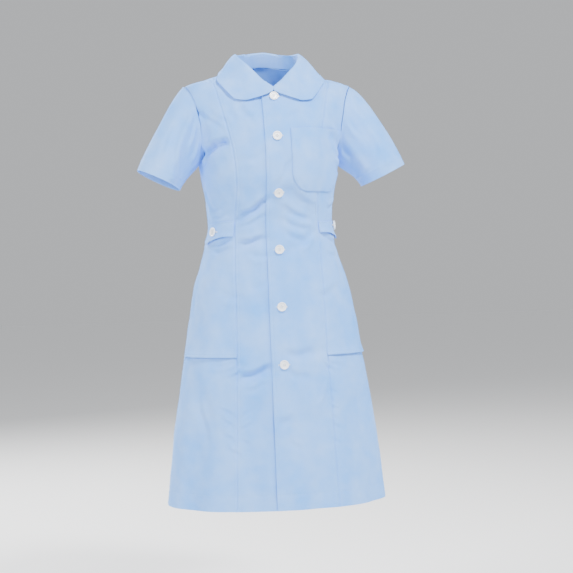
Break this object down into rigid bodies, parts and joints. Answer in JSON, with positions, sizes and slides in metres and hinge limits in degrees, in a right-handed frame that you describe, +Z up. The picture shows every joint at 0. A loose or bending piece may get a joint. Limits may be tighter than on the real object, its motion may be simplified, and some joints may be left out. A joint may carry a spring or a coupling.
{
  "type": "nurse uniform dress",
  "caption": "Knee-length short-sleeved uniform dress in worn form, with a round collar, button front, chest pocket, waist tabs and hip pockets.",
  "frame": {"origin": "midway between the high points of the two shoulders, inside the neck opening, where the wearer carries the dress", "axes": "+Z up, the front faces -Y, +X towards the wearer's left"},
  "size_m": [0.6064, 0.3272, 1.0144],
  "materials": {
    "cloth": "matte woven",
    "button": "semi-gloss moulded"
  },
  "bodies": {
    "root": {"front_left": "cloth", "front_right": "cloth", "side_front_left_upper": "cloth", "side_front_right_upper": "cloth", "side_front_left_lower": "cloth", "side_front_right_lower": "cloth", "back": "cloth", "sleeve_left_front": "cloth", "sleeve_left_back": "cloth", "sleeve_right_front": "cloth", "sleeve_right_back": "cloth", "collar": "cloth", "chest_pocket": "cloth", "waist_tab_left": "cloth", "waist_tab_right": "cloth", "button_1": "button", "button_2": "button", "button_3": "button", "button_4": "button", "button_5": "button", "button_6": "button", "tab_button_left": "button", "tab_button_right": "button"}
  },
  "joints": []
}
